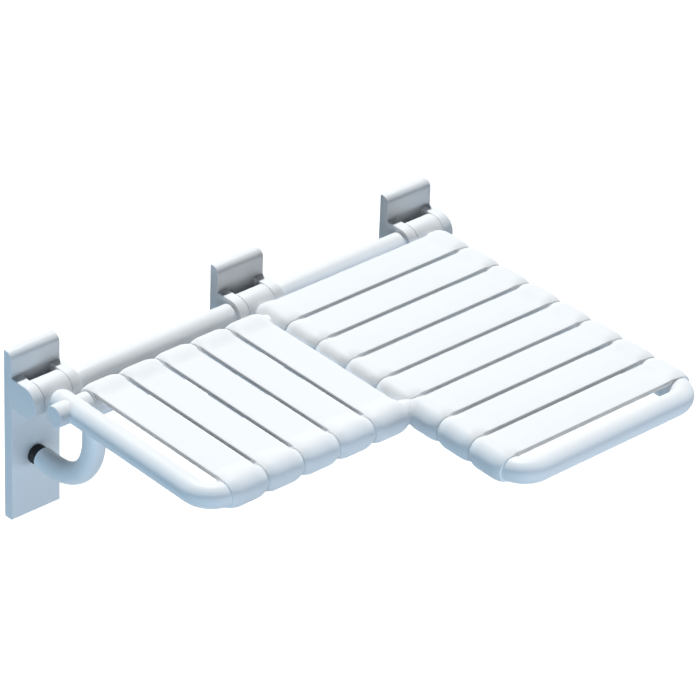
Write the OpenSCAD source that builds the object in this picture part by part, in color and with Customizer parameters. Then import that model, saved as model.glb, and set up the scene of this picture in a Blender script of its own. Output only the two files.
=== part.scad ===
// Wall seat of an accessible shower: an L of white slats on nylon sleeved
// steel tube, which folds up about a hinge line held by three wall brackets.
// Millimetres. X runs along the wall, the wall is the plane Y = 0, the seat
// reaches out towards -Y, and Z = 0 is the height of the hinge line.

/* [Layout] */
// Middle bracket to left bracket, along the wall
left_bay = 337; // [250:1:450]
// Middle bracket to right bracket, along the wall
right_bay = 295; // [240:1:450]
// Wall to the front tube of the short leg
short_reach = 354; // [300:0.5:450]
// Wall to the front tube of the long leg
long_reach = 551.5; // [480:0.5:650]
// Wall to the tube that crosses behind the short leg
back_reach = 90.5; // [84:0.5:120]

/* [Frame tubes] */
// Outside diameter of the arms and front tubes
tube_d = 33; // [30:0.5:36]
// Outside diameter of the back tube
back_tube_d = 30; // [26:0.5:33]
// Outside diameter of the support hooks
hook_d = 30; // [26:0.5:33]
// Wall of every nylon sleeve
sleeve_wall = 4; // [3:0.25:5]
// Wall of the steel tube inside
core_wall = 2.5; // [1.5:0.25:4]
// Centre line radius of the frame corners
corner_r = 30; // [26:1:60]
// Rounded back end of an arm, from the hinge line to the centre of its dome
dome_offset = 30; // [26:0.5:40]
// Length of the stub that shows outside the left arm
stub_out = 14; // [8:1:30]
// Thickness of the cap on the stub
cap_t = 3; // [2:0.5:6]
// Length of the plug on the cap
plug_l = 10; // [6:1:20]

/* [Wall brackets] */
// Width of a bracket cover
cover_w = 77; // [70:1:100]
// Depth of a bracket cover from the wall to its face
cover_t = 15; // [13:0.5:22]
// Top edge of the cover above the hinge line
cover_up = 58; // [45:1:90]
// Bottom edge of the cover below the hinge line
cover_down = 192; // [150:1:260]
// Wall of the moulded cover
cover_wall = 3; // [2:0.25:4]
// Rounding of the front edge at the top
top_round = 10; // [6:0.5:11]
// Rounding of the front edge at the bottom
low_round = 2.5; // [1:0.5:4]
// Rounding of the upright front edges
side_round = 1; // [0.5:0.25:4]
// Thickness of the steel wall plate
plate_t = 8; // [5:0.5:9]
// Space above the steel plate, inside the cover
plate_gap = 5; // [5:0.5:10]
// Thickness of a steel cheek of the plate
cheek_t = 10; // [8:0.5:12]
// Radius of the nose of a lug
lug_r = 22.5; // [20:0.5:26]
// Side of the pad that backs up a bumper
pad_side = 40; // [34:1:50]
// Diameter of a wall screw hole
screw_hole_d = 8.5; // [6.5:0.5:11]
// Wall screw holes, spacing along the wall
hole_pitch_x = 40; // [30:1:42]
// Upper wall screw holes above the hinge line
hole_up = 38; // [34:0.5:42]
// Lower wall screw holes below the hinge line
hole_down = 172; // [140:1:180]

/* [Hinge] */
// Wall to the hinge line
axle_y = 40.5; // [38:0.5:44]
// Diameter of a hinge pin
pin_d = 12; // [8:0.5:14]
// Length of pin that reaches into a rail
pin_stub = 15; // [8:1:30]
// Bevel on the ends of a pin
pin_bevel = 1; // [0.5:0.25:2]
// Radial clearance of a pin in its bush
run_fit = 0.05; // [0.02:0.01:0.1]
// Side clearance of a hub between its lugs
side_fit = 0.4; // [0.3:0.05:1]
// Diameter of the hub sleeve
hub_d = 45; // [40:0.5:46]
// Diameter of the steel tube in the hub
hub_core_d = 30; // [26:0.5:34]
// Diameter of the bar that joins hub and arm
neck_d = 18; // [14:0.5:20]
// Length of that bar inside the arm tube
neck_l = 20; // [12:1:30]
// Space between the hub and the steel tube of an arm
core_gap = 1; // [0.5:0.25:3]
// Outside diameter of a bush
bush_d = 16; // [14.5:0.5:20]
// Length of a bush
bush_l = 14; // [8:0.5:20]
// Diameter of the flange of a bush
flange_d = 22; // [18:0.5:24]
// Thickness of the flange of a bush
flange_t = 1.5; // [1:0.25:3]
// Diameter of a rail between the brackets
rail_d = 33; // [28:0.5:36]
// Nylon wall of a rail
rail_wall = 3; // [2:0.25:4]
// Diameter of the grub screw that locks a pin
grub_d = 5; // [4:0.5:6]
// Length of that grub screw
grub_l = 12; // [8:0.5:13]

/* [Slats] */
// Number of slats on the long leg
long_count = 8; // [4:1:10]
// Number of slats on the short leg
short_count = 5; // [3:1:7]
// Slot between the planks of two slats
slat_gap = 6; // [4:0.5:12]
// Slot between the sleeves of two slats
sleeve_gap = 2; // [1:0.25:4]
// Thickness of a plank
slat_t = 6; // [4:0.5:8]
// Rounding of the long top edges of a plank
slat_round = 2; // [1:0.25:3]
// Top of a plank below the top of its sleeves
plank_drop = 3.8; // [1:0.1:5]
// Wall of a slat's sleeve, in its middle
bulge_wall = 5.1; // [3:0.1:6]
// Wall of a slat's sleeve, at its side faces
edge_wall = 1.3; // [1:0.1:3]
// Rounded length at each side of a slat's sleeve
bulge_l = 15.5; // [8:0.5:18]
// Wall to the plank of the first long leg slat
long_start = 68; // [66:0.5:90]
// Slot between the last long leg slat and the front tube
front_gap = 5.8; // [4:0.1:12]
// Slot between the first short leg slat and the left arm
side_gap = 9.9; // [4:0.1:14]
// Shank diameter of a slat screw
slat_screw_d = 3.5; // [2.5:0.5:4]
// Head diameter of a slat screw
slat_head_d = 7; // [5:0.5:8]
// Height of the sunk head
slat_head_t = 1.8; // [1:0.1:3]
// Nylon left between the tip of a slat screw and the steel tube
screw_web = 0.25; // [0.1:0.05:1]
// Least nylon between a support hook and the head of a slat screw
hook_web = 0.5; // [0.3:0.1:3]
// Width across the driver recess
drive_d = 2.5; // [2:0.1:3]
// Depth of the driver recess
drive_t = 1.2; // [0.6:0.1:2]

/* [Supports] */
// Wall to the upright part of a support hook
hook_reach = 133; // [125:0.5:160]
// Hinge line down to the lower part of a support hook
hook_drop = 104.5; // [95:0.5:130]
// Centre line radius of a support hook
hook_r = 78; // [50:1:80]
// Diameter of a bumper
bumper_d = 27; // [24:0.5:32]
// Thickness of a bumper
bumper_t = 14; // [5:0.5:20]
// Length of the stem of a bumper
bumper_stem = 14; // [8:1:25]
// Space between a bumper and its bracket when the seat is down
rest_gap = 0.2; // [0.1:0.05:0.5]

/* [Cover screws] */
// Diameter of the screw under each cover
cover_screw_d = 4; // [3:0.5:5]
// Diameter of its sunk head
cover_head_d = 7; // [5.5:0.5:8]
// Height of its sunk head
cover_head_t = 1.5; // [1:0.1:2.5]
// Length of that screw
cover_screw_l = 14; // [10:1:20]

/* [Hidden] */
$fn = 96;
hex = 6;                                // sides of a driver recess
overrun = 2;                            // how far every cut runs past a face
left_x = -left_bay;                     // bracket and arm places along the wall
right_x = right_bay;
bracket_xs = [left_x, 0, right_x];
tube_r = tube_d / 2;
back_r = back_tube_d / 2;
core_d = tube_d - 2 * sleeve_wall;      // steel tube inside the frame
back_core_d = back_tube_d - 2 * sleeve_wall;
hook_core_d = hook_d - 2 * sleeve_wall;
rail_core_d = rail_d - 2 * rail_wall;
lug_t = cheek_t + 2 * cover_wall;       // a lug over its steel cheek
lug_in = cover_w / 2 - lug_t;           // bracket centre to a lug's inner face
cheek_in = lug_in + cover_wall;
cheek_out = cheek_in + cheek_t;
cheek_r = lug_r - cover_wall;
hub_w = 2 * (lug_in - side_fit);
plate_up = cover_up - cover_wall - plate_gap;
plate_down = cover_down - cover_wall;
dome_y = axle_y + dome_offset;
hub_front = axle_y + hub_d / 2;         // reach of the hub's front
core_start = hub_front + core_gap;      // start of the arm's steel tube
neck_end = core_start + neck_l;
stub_x = left_x - tube_r - stub_out;    // outer end of the stub
ring_r = tube_r + bulge_wall;           // a slat's sleeve in its middle
plank_z = ring_r - plank_drop - slat_t; // underside of a plank
bulge_drop = bulge_wall - edge_wall;
bulge_r = (bulge_l * bulge_l + bulge_drop * bulge_drop) / (2 * bulge_drop);
slat_screw_l = ring_r - core_d / 2 - screw_web;
bumper_y = cover_t + rest_gap;          // face of a bumper
hook_end = bumper_y + bumper_t;         // end of a hook's tube
hook_straight = hook_drop - hook_r;     // hinge line down to the start of a bend
hook_clear = (hook_d + slat_head_d) / 2 + hook_web; // a hook's axis to the next slat screw
long_run = long_reach - tube_r - front_gap - long_start;
long_slat_w = (long_run - (long_count - 1) * slat_gap) / long_count;
long_pitch = long_slat_w + slat_gap;
short_end = ring_r + (sleeve_gap + slat_gap) / 2;   // middle arm's axis to the last short slat
short_run = left_bay - tube_r - side_gap - short_end;
short_slat_w = (short_run - (short_count - 1) * slat_gap) / short_count;
short_pitch = short_slat_w + slat_gap;

// Shared shapes

// A round bar along X from x0 to x1, with its axis at reach y and height z
module bar_x(x0, x1, d, y, z = 0)
    translate([x0, -y, z])
        rotate([0, 90, 0])
            cylinder(h = x1 - x0, d = d);

// A round bar along Y from reach y0 out to reach y1
module bar_y(y0, y1, d, x, z = 0)
    translate([x, -y0, z])
        rotate([90, 0, 0])
            cylinder(h = y1 - y0, d = d);

// A round bar along Z from z0 up to z1
module bar_z(z0, z1, d, x, y)
    translate([x, -y, z0])
        cylinder(h = z1 - z0, d = d);

// A quarter bend in the XY plane about a centre, starting at a given angle
module bend_xy(x, y, start, d)
    translate([x, -y, 0])
        rotate([0, 0, start])
            rotate_extrude(angle = 90)
                translate([corner_r, 0])
                    circle(d = d);

// The same for a support hook, in the plane of its arm
module bend_yz(x, d)
    translate([x, -(hook_reach - hook_r), -hook_straight])
        rotate([90, 0, 90])
            rotate([0, 0, 180])
                rotate_extrude(angle = 90)
                    translate([hook_r, 0])
                        circle(d = d);

// Draws a profile given as (y, z) and gives it a thickness along X from x0
module side_slab(x0, t)
    translate([x0, 0, 0])
        rotate([90, 0, 90])
            linear_extrude(height = t)
                children();

// Wall brackets

// The D outline of a lug or cheek, from reach back to its round nose
module nose(r, back) {
    translate([-axle_y, 0])
        circle(r = r);
    translate([-axle_y, -r])
        square([axle_y - back, 2 * r]);
}

// A front corner of a cover's side outline, to be cut away; up is 1 or -1
module corner_waste(front, edge, r, up)
    translate([-front, up * edge])
        mirror([0, up < 0 ? 1 : 0])
            difference() {
                translate([-overrun, -r])
                    square([r + overrun, r + overrun]);
                translate([r, -r])
                    circle(r = r);
            }

// The side outline of a cover, or of its cavity, inset by a wall
module cover_outline(inset)
    difference() {
        translate([-(cover_t - inset), -(cover_down - inset)])
            square([cover_t - inset, cover_down + cover_up - 2 * inset]);
        corner_waste(cover_t - inset, cover_up - inset, top_round - inset, 1);
        if (low_round > inset)
            corner_waste(cover_t - inset, cover_down - inset, low_round - inset, -1);
    }

// The plan outline of a cover with its upright front edges rounded
module cover_plan()
    difference() {
        translate([-cover_w / 2, -cover_t])
            square([cover_w, cover_t]);
        for (side = [0, 1])
            mirror([side, 0])
                translate([cover_w / 2 - side_round, -cover_t + side_round])
                    difference() {
                        translate([0, -side_round - overrun])
                            square([side_round + overrun, side_round + overrun]);
                        circle(r = side_round);
                    }
    }

// The screw under a cover, which points up into the plate's lower edge
module cover_screw(x) {
    translate([x, -plate_t / 2, -cover_down])
        cylinder(h = cover_head_t, d1 = cover_head_d, d2 = cover_screw_d);
    bar_z(-cover_down, -cover_down + cover_screw_l, cover_screw_d, x, plate_t / 2);
}

// The grub screw in a left cheek, which bears on the pin from below
module grub(x)
    bar_z(-pin_d / 2 - grub_l, -pin_d / 2, grub_d, x - cheek_in - cheek_t / 2, axle_y);

module wall_plate(x)
    color("silver")
        difference() {
            union() {
                translate([x - cheek_out, -plate_t, -plate_down])
                    cube([2 * cheek_out, plate_t, plate_down + plate_up]);
                for (inner = [-cheek_out, cheek_in])
                    side_slab(x + inner, cheek_t)
                        nose(cheek_r, 0);
            }
            bar_x(x - cheek_out - overrun, x + cheek_out + overrun, pin_d, axle_y);
            for (side = [-1, 1], z = [hole_up, -hole_down])
                bar_y(-overrun, plate_t + overrun, screw_hole_d, x + side * hole_pitch_x / 2, z);
            cover_screw(x);
            bar_z(-cheek_r - overrun, 0, grub_d, x - cheek_in - cheek_t / 2, axle_y);
        }

// A moulded cover. A lug is open on the sides where a rail leaves it.
module cover(x, rail_sides)
    color("white")
        difference() {
            union() {
                intersection() {
                    side_slab(x - cover_w / 2, cover_w)
                        cover_outline(0);
                    translate([x, 0, -cover_down])
                        linear_extrude(height = cover_down + cover_up)
                            cover_plan();
                }
                for (inner = [-cover_w / 2, lug_in])
                    side_slab(x + inner, lug_t)
                        nose(lug_r, 0);
            }
            difference() {
                side_slab(x - cheek_out, 2 * cheek_out)
                    cover_outline(cover_wall);
                translate([x - pad_side / 2, -cover_t, -hook_drop - pad_side / 2])
                    cube([pad_side, cover_t - plate_t, pad_side]);
            }
            translate([x - cheek_out, -plate_t, -plate_down])
                cube([2 * cheek_out, plate_t + overrun, plate_down + plate_up]);
            for (inner = [-cheek_out, cheek_in])
                side_slab(x + inner, cheek_t)
                    nose(cheek_r, 0);
            bar_x(x - cheek_out, x + cheek_out, pin_d, axle_y);
            for (side = rail_sides)
                bar_x(x + (side > 0 ? cheek_out : -cheek_out - cover_wall - overrun),
                      x + (side > 0 ? cheek_out + cover_wall + overrun : -cheek_out),
                      rail_d, axle_y);
            cover_screw(x);
            bar_z(-lug_r - overrun, -cheek_r + overrun, grub_d, x - cheek_in - cheek_t / 2, axle_y);
        }

module cover_screws()
    color("gray")
        for (x = bracket_xs)
            difference() {
                cover_screw(x);
                translate([x, -plate_t / 2, -cover_down - overrun])
                    cylinder(h = overrun + drive_t, d = drive_d, $fn = hex);
            }

// The bevelled end of a pin at x, which points to +X or -X
module pin_end(x, side)
    translate([x, -axle_y, 0])
        rotate([0, -90 * side, 0])
            cylinder(h = pin_bevel, d1 = pin_d - 2 * pin_bevel, d2 = pin_d);

// The pin of the bracket at x, and how far it reaches into the rail on each side
module hinge_pin(x, left_stub, right_stub)
    color("silver") {
        bar_x(x - cheek_out - left_stub + pin_bevel, x + cheek_out + right_stub - pin_bevel,
              pin_d, axle_y);
        pin_end(x - cheek_out - left_stub, -1);
        pin_end(x + cheek_out + right_stub, 1);
    }

module pin_screws()
    color("gray")
        for (x = bracket_xs)
            difference() {
                grub(x);
                translate([x - cheek_in - cheek_t / 2, -axle_y, -pin_d / 2 - grub_l - overrun])
                    cylinder(h = overrun + drive_t, d = drive_d, $fn = hex);
            }

module rail(x0, x1)
    color("white")
        difference() {
            bar_x(x0, x1, rail_d, axle_y);
            bar_x(x0 - overrun, x1 + overrun, rail_core_d, axle_y);
        }

module rail_core(x0, x1)
    color("silver")
        difference() {
            bar_x(x0, x1, rail_core_d, axle_y);
            bar_x(x0 - overrun, x1 + overrun, pin_d, axle_y);
        }

// Hinge parts that turn with the seat

module hub(x)
    color("white")
        difference() {
            bar_x(x - hub_w / 2, x + hub_w / 2, hub_d, axle_y);
            bar_x(x - hub_w / 2 - overrun, x + hub_w / 2 + overrun, hub_core_d, axle_y);
            bar_y(axle_y, hub_front + overrun, neck_d, x);
        }

// A flanged bush in the hub's end at +X or -X
module bush(x, side)
    translate([x + side * hub_w / 2, -axle_y, 0])
        rotate([0, -90 * side, 0])
            difference() {
                union() {
                    cylinder(h = flange_t, d = flange_d);
                    cylinder(h = bush_l, d = bush_d);
                }
                translate([0, 0, -overrun])
                    cylinder(h = bush_l + 2 * overrun, d = pin_d + 2 * run_fit);
            }

module hinge_bushes()
    color("dimgray")
        for (x = bracket_xs, side = [-1, 1])
            bush(x, side);

// The steel frame, welded from tube: solid outline, then what is hollow.
// The cores of the back tube and the support hooks are welded to it.
module frame_run(d, back_d, start) {
    for (x = bracket_xs)
        bar_y(start, (x < 0 ? short_reach : long_reach) - corner_r, d, x);
    bend_xy(left_x + corner_r, short_reach - corner_r, 180, d);
    bend_xy(corner_r, long_reach - corner_r, 180, d);
    bend_xy(right_x - corner_r, long_reach - corner_r, 270, d);
    bar_x(left_x + corner_r, 0, d, short_reach);
    bar_x(corner_r, right_x - corner_r, d, long_reach);
    bar_x(stub_x + cap_t, 0, back_d, back_reach);
}

module frame_core()
    color("silver")
        difference() {
            union() {
                frame_run(core_d, back_core_d, core_start);
                for (x = bracket_xs) {
                    bar_x(x - hub_w / 2, x + hub_w / 2, hub_core_d, axle_y);
                    bar_y(axle_y, core_start, neck_d, x);
                }
            }
            frame_run(core_d - 2 * core_wall, back_core_d - 2 * core_wall, neck_end);
            bar_x(stub_x, left_x - core_d / 2, back_core_d - 2 * core_wall, back_reach);
            for (x = bracket_xs) {
                bar_x(x - hub_w / 2 - overrun, x + hub_w / 2 + overrun, bush_d, axle_y);
                for (side = [-1, 1])
                    bar_x(x + side * hub_w / 2 - flange_t, x + side * hub_w / 2 + flange_t,
                          flange_d, axle_y);
            }
        }

// Nylon sleeves of the frame

// A slat screw, which also cuts its own hole in slat and sleeve
module slat_screw(x, y) {
    translate([x, -y, -ring_r]) {
        cylinder(h = slat_head_t, d1 = slat_head_d, d2 = slat_screw_d);
        cylinder(h = slat_screw_l, d = slat_screw_d);
    }
}

function long_y(i) = long_start + long_slat_w / 2 + i * long_pitch;
function screw_y(i) = long_y(i) < hook_reach
    ? min(long_y(i), hook_reach - hook_clear)
    : max(long_y(i), hook_reach + hook_clear);
function short_x(i) = -short_end - short_slat_w / 2 - (short_count - 1 - i) * short_pitch;

module long_screws(xs)
    for (i = [0 : long_count - 1], x = xs)
        slat_screw(x, screw_y(i));

module short_screws(ys)
    for (i = [0 : short_count - 1], y = ys)
        slat_screw(short_x(i), y);

// An arm's sleeve from its dome behind to the corner in front
module arm(x, reach, screw_xs)
    color("white")
        difference() {
            union() {
                bar_y(dome_y, reach - corner_r, tube_d, x);
                translate([x, -dome_y, 0])
                    sphere(d = tube_d);
            }
            bar_x(x - tube_d, x + tube_d, hub_d, axle_y);
            bar_y(core_start, reach, core_d, x);
            bar_y(axle_y, reach, neck_d, x);
            bar_z(-tube_d, 0, hook_core_d, x, hook_reach);
            if (x < right_x)
                bar_x(x - tube_d, x < 0 ? x + tube_d : x, back_core_d, back_reach);
            if (x == 0)
                bar_x(x - tube_d, x, core_d, short_reach);
            long_screws(screw_xs);
        }

module corner(x, reach, start)
    color("white")
        difference() {
            bend_xy(x, reach - corner_r, start, tube_d);
            bend_xy(x, reach - corner_r, start, core_d);
            if (reach == long_reach)
                long_screws([0, right_x]);
            if (reach == short_reach)
                short_screws([short_reach]);
        }

module front_tube_left()
    color("white")
        difference() {
            bar_x(left_x + corner_r, 0, tube_d, short_reach);
            bar_x(left_x, tube_d, core_d, short_reach);
            bar_y(hub_front, long_reach, tube_d, 0);
            short_screws([short_reach]);
        }

module front_tube_right()
    color("white")
        difference() {
            bar_x(corner_r, right_x - corner_r, tube_d, long_reach);
            bar_x(0, right_x, core_d, long_reach);
        }

module back_tube()
    color("white")
        difference() {
            bar_x(left_x, 0, back_tube_d, back_reach);
            bar_x(left_x - overrun, overrun, back_core_d, back_reach);
            for (x = [left_x, 0])
                bar_y(hub_front, short_reach, tube_d, x);
            short_screws([back_reach]);
        }

module back_stub()
    color("white")
        difference() {
            bar_x(stub_x + cap_t, left_x, back_tube_d, back_reach);
            bar_x(stub_x, left_x + overrun, back_core_d, back_reach);
            bar_y(hub_front, short_reach, tube_d, left_x);
        }

module stub_cap()
    color("white") {
        bar_x(stub_x, stub_x + cap_t, back_tube_d, back_reach);
        bar_x(stub_x, stub_x + cap_t + plug_l, back_core_d - 2 * core_wall, back_reach);
    }

// Support hooks

// The run of a hook, as a solid bar of diameter d from z = 0 to its end
module hook_run(x, d, end) {
    bar_z(-hook_straight, 0, d, x, hook_reach);
    bend_yz(x, d);
    bar_y(end, hook_reach - hook_r, d, x, -hook_drop);
}

module support(x)
    color("white")
        difference() {
            hook_run(x, hook_d, hook_end);
            hook_run(x, hook_core_d, hook_end - overrun);
            bar_y(hub_front, short_reach, tube_d, x);
        }

module support_core(x)
    color("silver")
        difference() {
            hook_run(x, hook_core_d, hook_end);
            hook_run(x, hook_core_d - 2 * core_wall, hook_end - overrun);
            bar_y(hub_front, short_reach, core_d, x);
        }

module bumper(x)
    color("black") {
        bar_y(bumper_y, hook_end, bumper_d, x, -hook_drop);
        bar_y(bumper_y, hook_end + bumper_stem, hook_core_d - 2 * core_wall, x, -hook_drop);
    }

// Slats

// The sleeve at an end of a slat, about Z: a barrel that narrows to its faces
module slat_sleeve(w)
    rotate_extrude()
        difference() {
            translate([0, -w / 2])
                square([ring_r, w]);
            for (side = [0, 1])
                mirror([0, side])
                    difference() {
                        translate([0, w / 2 - bulge_l])
                            square([ring_r + overrun, bulge_l + overrun]);
                        translate([ring_r - bulge_r, w / 2 - bulge_l])
                            circle(r = bulge_r);
                    }
        }

// The plank of a slat along X from 0 to span, with rounded top edges
module plank(span, w)
    rotate([90, 0, 90])
        linear_extrude(height = span)
            difference() {
                translate([-w / 2, plank_z])
                    square([w, slat_t]);
                for (side = [0, 1])
                    mirror([side, 0])
                        translate([w / 2 - slat_round, plank_z + slat_t - slat_round])
                            difference() {
                                square([slat_round + overrun, slat_round + overrun]);
                                circle(r = slat_round);
                            }
            }

// A slat along X with a sleeve about a tube along Y at each end
module slat(span, w, sleeve_w, d_start, d_end)
    difference() {
        union() {
            plank(span, w);
            for (x = [0, span])
                translate([x, 0, 0])
                    rotate([90, 0, 0])
                        slat_sleeve(sleeve_w);
        }
        bar_y(-w, w, d_start, 0);
        bar_y(-w, w, d_end, span);
    }

// A slat of the long leg, counted from the wall. Its sleeves leave room for
// the tubes and hooks that join the frame under them.
module long_slat(i)
    color("white")
        difference() {
            translate([0, -long_y(i), 0])
                slat(right_x, long_slat_w, long_pitch - sleeve_gap, tube_d, tube_d);
            bar_x(left_x, 0, back_tube_d, back_reach);
            bar_x(left_x, 0, tube_d, short_reach);
            for (x = [0, right_x])
                bar_z(-hook_straight, 0, hook_d, x, hook_reach);
            bend_xy(corner_r, long_reach - corner_r, 180, tube_d);
            bend_xy(right_x - corner_r, long_reach - corner_r, 270, tube_d);
            long_screws([0, right_x]);
        }

// A slat of the short leg, counted from the left
module short_slat(i)
    color("white")
        difference() {
            translate([short_x(i), -back_reach, 0])
                rotate([0, 0, -90])
                    slat(short_reach - back_reach, short_slat_w, short_pitch - sleeve_gap,
                         back_tube_d, tube_d);
            bend_xy(left_x + corner_r, short_reach - corner_r, 180, tube_d);
            short_screws([back_reach, short_reach]);
        }

// Cuts the driver recess into a slat screw's head
module slat_screw_solid(x, y)
    difference() {
        slat_screw(x, y);
        translate([x, -y, -ring_r - overrun])
            cylinder(h = overrun + drive_t, d = drive_d, $fn = hex);
    }

module short_slat_screws()
    color("gray")
        for (i = [0 : short_count - 1], y = [back_reach, short_reach])
            slat_screw_solid(short_x(i), y);

module long_slat_screws()
    color("gray")
        for (i = [0 : long_count - 1], x = [0, right_x])
            slat_screw_solid(x, screw_y(i));

wall_plate(left_x);  // wall_plate_left
wall_plate(0);  // wall_plate_middle
wall_plate(right_x);  // wall_plate_right
cover(left_x, [1]);  // cover_left
cover(0, [-1, 1]);  // cover_middle
cover(right_x, [-1]);  // cover_right
cover_screws();
hinge_pin(left_x, 0, pin_stub);  // hinge_pin_left
hinge_pin(0, pin_stub, pin_stub);  // hinge_pin_middle
hinge_pin(right_x, pin_stub, 0);  // hinge_pin_right
pin_screws();
rail(left_x + cheek_out, -cheek_out);  // rail_left
rail(cheek_out, right_x - cheek_out);  // rail_right
rail_core(left_x + cheek_out, -cheek_out);  // rail_core_left
rail_core(cheek_out, right_x - cheek_out);  // rail_core_right
hub(left_x);  // hub_left
hub(0);  // hub_middle
hub(right_x);  // hub_right
hinge_bushes();
frame_core();
arm(left_x, short_reach, []);  // arm_left
arm(0, long_reach, [0]);  // arm_middle
arm(right_x, long_reach, [right_x]);  // arm_right
corner(left_x + corner_r, short_reach, 180);  // corner_left
corner(corner_r, long_reach, 180);  // corner_middle
corner(right_x - corner_r, long_reach, 270);  // corner_right
front_tube_left();
front_tube_right();
back_tube();
back_stub();
stub_cap();
support(left_x);  // support_left
support(0);  // support_middle
support(right_x);  // support_right
support_core(left_x);  // support_core_left
support_core(0);  // support_core_middle
support_core(right_x);  // support_core_right
bumper(left_x);  // bumper_left
bumper(0);  // bumper_middle
bumper(right_x);  // bumper_right
short_slat(0);  // short_slat_1
short_slat(1);  // short_slat_2
short_slat(2);  // short_slat_3
short_slat(3);  // short_slat_4
short_slat(4);  // short_slat_5
long_slat(0);  // long_slat_1
long_slat(1);  // long_slat_2
long_slat(2);  // long_slat_3
long_slat(3);  // long_slat_4
long_slat(4);  // long_slat_5
long_slat(5);  // long_slat_6
long_slat(6);  // long_slat_7
long_slat(7);  // long_slat_8
short_slat_screws();
long_slat_screws();
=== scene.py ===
# %% [markdown]
# # A fold down wall seat
#
# The real object is an L of thin white slats on a nylon covered tube frame. Three wall
# brackets hold one hinge line, and the whole L folds up about it. The drawing office
# model comes first, as a fixed frame: every piece below takes its place and its main
# sizes from it, so the pretty model can't drift away from the one that was engineered.

# %% Load the frame
import math

import bmesh
import bpy
from mathutils import Matrix, Vector


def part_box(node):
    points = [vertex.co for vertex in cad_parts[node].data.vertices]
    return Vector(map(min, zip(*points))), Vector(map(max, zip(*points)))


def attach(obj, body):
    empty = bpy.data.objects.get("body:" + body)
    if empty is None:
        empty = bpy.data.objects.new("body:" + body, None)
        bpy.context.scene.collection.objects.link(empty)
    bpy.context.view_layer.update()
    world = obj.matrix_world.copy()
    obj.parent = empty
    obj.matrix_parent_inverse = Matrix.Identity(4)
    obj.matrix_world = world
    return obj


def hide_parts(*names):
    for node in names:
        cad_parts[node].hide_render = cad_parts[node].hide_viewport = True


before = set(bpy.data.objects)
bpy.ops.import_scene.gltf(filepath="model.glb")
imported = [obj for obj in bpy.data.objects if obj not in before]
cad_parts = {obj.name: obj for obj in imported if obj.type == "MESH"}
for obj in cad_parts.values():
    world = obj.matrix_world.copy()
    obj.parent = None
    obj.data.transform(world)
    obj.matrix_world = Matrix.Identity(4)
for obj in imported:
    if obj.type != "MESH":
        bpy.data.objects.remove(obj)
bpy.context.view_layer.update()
scene = bpy.context.scene
print("nodes in the frame:", len(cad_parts))

# %% [markdown]
# ## The camera
#
# The photograph was taken from high on the left with a long lens. A long lens keeps
# parallel edges almost parallel, so the camera stands nearly six metres away. Its angles
# were found by matching the straight tubes and the slots between slats. The camera is
# placed in its own axes: so far back from the scene's origin, and a little to the side
# and down.

# %% Camera
AZIMUTH, ELEVATION, ROLL = math.radians(-42.61), math.radians(31.90), math.radians(2.30)
DISTANCE, ASIDE, BELOW = 5.7930, 0.1534, -0.0743
SENSOR, CLIP_END = 36.0, 60.0
FOCAL_PIXELS, PHOTO_PIXELS = 4435.8, 700

camera_turn = (
    Matrix.Rotation(AZIMUTH, 3, "Z")
    @ Matrix.Rotation(math.pi / 2 - ELEVATION, 3, "X")
    @ Matrix.Rotation(ROLL, 3, "Z")
)
camera_place = camera_turn @ Vector((ASIDE, BELOW, DISTANCE))
camera = bpy.data.objects.new("camera", bpy.data.cameras.new("camera"))
camera.data.sensor_width = SENSOR
camera.data.lens = SENSOR * FOCAL_PIXELS / PHOTO_PIXELS
camera.data.clip_end = CLIP_END
camera.matrix_world = Matrix.Translation(camera_place) @ camera_turn.to_4x4()
scene.collection.objects.link(camera)
scene.camera = camera
print("lens in millimetres:", round(camera.data.lens, 1))

# %% [markdown]
# ## Measures from the frame
#
# Instead of typing sizes again, the script reads them off the boxes of the frame's
# nodes. A tube's box gives its axis and its radius, the box of a corner gives the radius
# of its bend, and the middle of a bracket's cover gives its place along the wall.

# %% Measures
MM = 0.001
SIDES = ["left", "middle", "right"]


def middle(node):
    """The middle of a node's box."""
    low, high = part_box(node)
    return (low + high) / 2


def width(node, axis):
    """The size of a node's box along X, Y or Z, which are axes 0, 1 and 2."""
    low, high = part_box(node)
    return high[axis] - low[axis]


bracket_x = {side: middle("cover_" + side).x for side in SIDES}
TUBE_R = width("front_tube_right", 2) / 2
BACK_R = width("back_tube", 2) / 2
HOOK_R = width("support_left", 0) / 2
RAIL_R = width("rail_left", 2) / 2
HUB_R = width("hub_left", 2) / 2
RING_R = width("long_slat_4", 2) / 2
CORNER_R = width("corner_left", 0) - TUBE_R
hinge_y = middle("hub_left").y
back_y = middle("back_tube").y
short_y = middle("front_tube_left").y
long_y = middle("front_tube_right").y
print("tube radius:", round(TUBE_R / MM, 2), "corner radius:", round(CORNER_R / MM, 2))
print("front tubes at:", round(short_y / MM, 1), round(long_y / MM, 1))

# %% [markdown]
# ## The sky
#
# The photograph has a plain white background. A white sky would light the object from
# all sides and wash out its shades, so the sky is made of two parts: the camera and the
# reflections see white, and the object is lit by a faint blue. A Light Path node tells
# these rays apart.

# %% Sky
WHITE = (1, 1, 1, 1)
SKY_COLOUR, SKY_STRENGTH = (0.50, 0.76, 1.0, 1), 0.02


def calculated(tree, operation, first, second):
    """A Math node on a socket and on another socket or a number."""
    math_node = tree.nodes.new("ShaderNodeMath")
    math_node.operation = operation
    tree.links.new(first, math_node.inputs[0])
    if isinstance(second, float):
        math_node.inputs[1].default_value = second
    else:
        tree.links.new(second, math_node.inputs[1])
    return math_node.outputs[0]


def seen_directly(tree):
    """1 for camera rays, reflections and rays through glass, and 0 for bounced light."""
    path = tree.nodes.new("ShaderNodeLightPath").outputs
    mirrored = calculated(tree, "MAXIMUM", path["Is Glossy Ray"], path["Is Transmission Ray"])
    return calculated(tree, "MAXIMUM", path["Is Camera Ray"], mirrored)


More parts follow.
